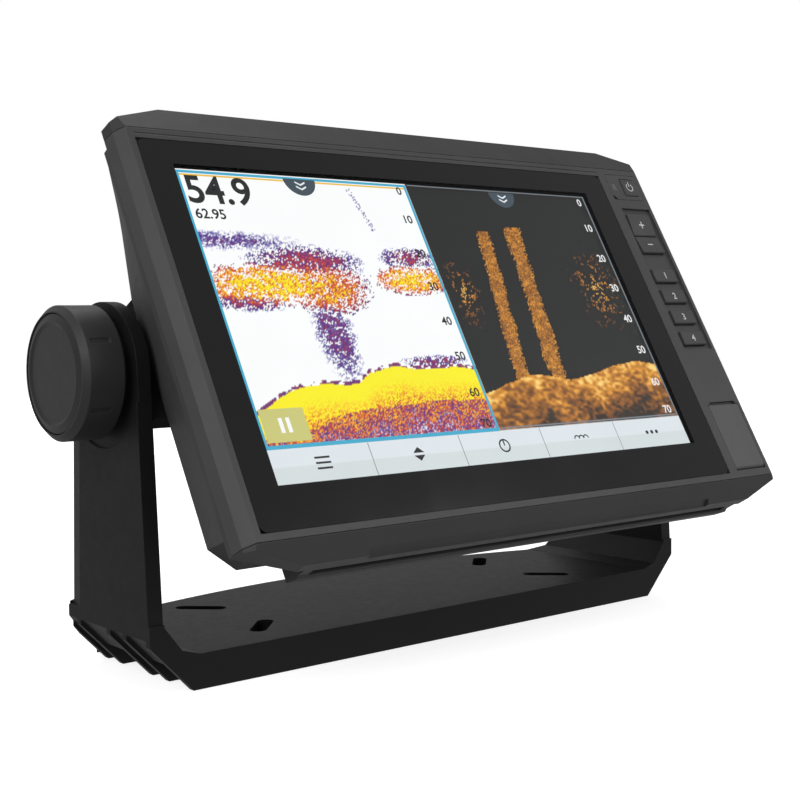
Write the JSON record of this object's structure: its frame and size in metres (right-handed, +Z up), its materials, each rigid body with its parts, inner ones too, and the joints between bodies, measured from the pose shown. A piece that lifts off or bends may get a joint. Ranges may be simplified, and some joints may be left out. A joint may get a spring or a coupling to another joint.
{
  "type": "fish finder",
  "caption": "Wide-screen sonar display with a side column of keys, held by a quick-release cradle that tilts between two clamp knobs in a U-shaped bracket.",
  "frame": {"origin": "middle of the four mounting slots, on the underside of the bracket's base", "axes": "+X to the right of someone facing the screen, -Y to the front, +Z up"},
  "size_m": [0.296, 0.1451, 0.1932],
  "materials": {
    "bracket": "fine-textured black glass-filled nylon",
    "knob": "fine-textured black nylon",
    "bezel": "satin black polycarbonate",
    "trim": "fine-textured black polycarbonate",
    "housing": "fine-textured black polycarbonate",
    "keys": "satin black silicone-coated key caps",
    "gloss": "gloss black panel",
    "glass": "clear bonded cover glass",
    "clear": "clear light guide",
    "display": "lit display panel",
    "white": "white diffuser and light guide",
    "steel": "stainless steel",
    "brass": "machined brass",
    "contact": "gold-plated brass",
    "rubber": "black silicone rubber",
    "aluminium": "plain aluminium",
    "board": "green circuit board",
    "ceramic": "ceramic antenna patch"
  },
  "bodies": {
    "bail": {"bail_bracket": "bracket"},
    "cradle": {"cradle_frame": "bracket", "ear_inserts": "brass", "pivot_pads": "rubber", "connector_lock": "bracket", "lock_screws": "steel", "lever_pin": "steel", "lever_spring": "steel"},
    "release_lever": {"release_lever": "bracket"},
    "left_washer": {"left_knob_washer": "steel"},
    "right_washer": {"right_knob_washer": "steel"},
    "left_knob": {"left_knob": "knob", "left_knob_cap": "knob", "left_knob_stud": "steel"},
    "right_knob": {"right_knob": "knob", "right_knob_cap": "knob", "right_knob_stud": "steel"},
    "head_unit": {"front_bezel": "bezel", "top_trim": "trim", "bottom_trim": "trim", "cover_glass": "glass", "display_panel": "display", "backlight": "white", "display_frame": "aluminium", "power_panel": "gloss", "light_sensor_window": "clear", "key_mat": "rubber", "key_board": "board", "card_door_pin": "steel", "card_reader": "housing", "housing_gasket": "rubber", "rear_housing": "housing", "case_screws": "steel", "main_board": "board", "board_screws": "steel", "shield_can": "aluminium", "heat_spreader": "aluminium", "position_antenna": "ceramic", "power_socket": "housing", "transducer_socket": "housing", "network_socket": "housing", "socket_contacts": "contact"},
    "card_door": {"card_door": "bezel", "card_door_seal": "rubber"},
    "power_key": {"power_key": "keys"},
    "plus_key": {"plus_key": "keys"},
    "minus_key": {"minus_key": "keys"},
    "key_1": {"key_1": "keys"},
    "key_2": {"key_2": "keys"},
    "key_3": {"key_3": "keys"},
    "key_4": {"key_4": "keys"}
  },
  "joints": [
    {"name": "cradle_tilt", "type": "hinge", "parent": "bail", "child": "cradle", "pos_m": [0, -0.013, 0.105], "axis": [1, 0, 0], "range_deg": [-25, 28]},
    {"name": "unit_tip", "type": "hinge", "parent": "cradle", "child": "head_unit", "pos_m": [0, -0.04977, 0.06031], "axis": [1, 0, 0], "range_deg": [0, 5]},
    {"name": "release_lever_swing", "type": "hinge", "parent": "cradle", "child": "release_lever", "pos_m": [0, 0.03018, 0.13055], "axis": [1, 0, 0], "range_deg": [-30, 0], "stiffness_Nm_per_rad": 0.05, "springref_deg": 60.16},
    {"name": "card_door_swing", "type": "hinge", "parent": "head_unit", "child": "card_door", "pos_m": [0, -0.09319, 0.06075], "axis": [1, 0, 0], "range_deg": [0, 92]},
    {"name": "left_clamp_travel", "type": "slide", "parent": "cradle", "child": "left_washer", "axis": [-1, 0, 0], "range_m": [0, 0.00313]},
    {"name": "left_knob_turn", "type": "hinge", "parent": "left_washer", "child": "left_knob", "pos_m": [0, -0.013, 0.105], "axis": [-1, 0, 0], "range_deg": [0, 900]},
    {"name": "right_clamp_travel", "type": "slide", "parent": "cradle", "child": "right_washer", "axis": [1, 0, 0], "range_m": [0, 0.00313]},
    {"name": "right_knob_turn", "type": "hinge", "parent": "right_washer", "child": "right_knob", "pos_m": [0, -0.013, 0.105], "axis": [1, 0, 0], "range_deg": [0, 900]},
    {"name": "power_key_press", "type": "slide", "parent": "head_unit", "child": "power_key", "axis": [0, 0.8704, -0.4924], "range_m": [0, 0.0008], "stiffness_N_per_m": 600, "springref_m": -0.0005},
    {"name": "plus_key_press", "type": "slide", "parent": "head_unit", "child": "plus_key", "axis": [0, 0.8704, -0.4924], "range_m": [0, 0.0008], "stiffness_N_per_m": 600, "springref_m": -0.0005},
    {"name": "minus_key_press", "type": "slide", "parent": "head_unit", "child": "minus_key", "axis": [0, 0.8704, -0.4924], "range_m": [0, 0.0008], "stiffness_N_per_m": 600, "springref_m": -0.0005},
    {"name": "key_1_press", "type": "slide", "parent": "head_unit", "child": "key_1", "axis": [0, 0.8704, -0.4924], "range_m": [0, 0.0008], "stiffness_N_per_m": 600, "springref_m": -0.0005},
    {"name": "key_2_press", "type": "slide", "parent": "head_unit", "child": "key_2", "axis": [0, 0.8704, -0.4924], "range_m": [0, 0.0008], "stiffness_N_per_m": 600, "springref_m": -0.0005},
    {"name": "key_3_press", "type": "slide", "parent": "head_unit", "child": "key_3", "axis": [0, 0.8704, -0.4924], "range_m": [0, 0.0008], "stiffness_N_per_m": 600, "springref_m": -0.0005},
    {"name": "key_4_press", "type": "slide", "parent": "head_unit", "child": "key_4", "axis": [0, 0.8704, -0.4924], "range_m": [0, 0.0008], "stiffness_N_per_m": 600, "springref_m": -0.0005}
  ],
  "couplings": [
    {"joint": "release_lever_swing", "follows": "unit_tip", "ratio": -6},
    {"joint": "left_clamp_travel", "follows": "left_knob_turn", "m_per_rad": 0.00019894},
    {"joint": "right_clamp_travel", "follows": "right_knob_turn", "m_per_rad": 0.00019894}
  ]
}
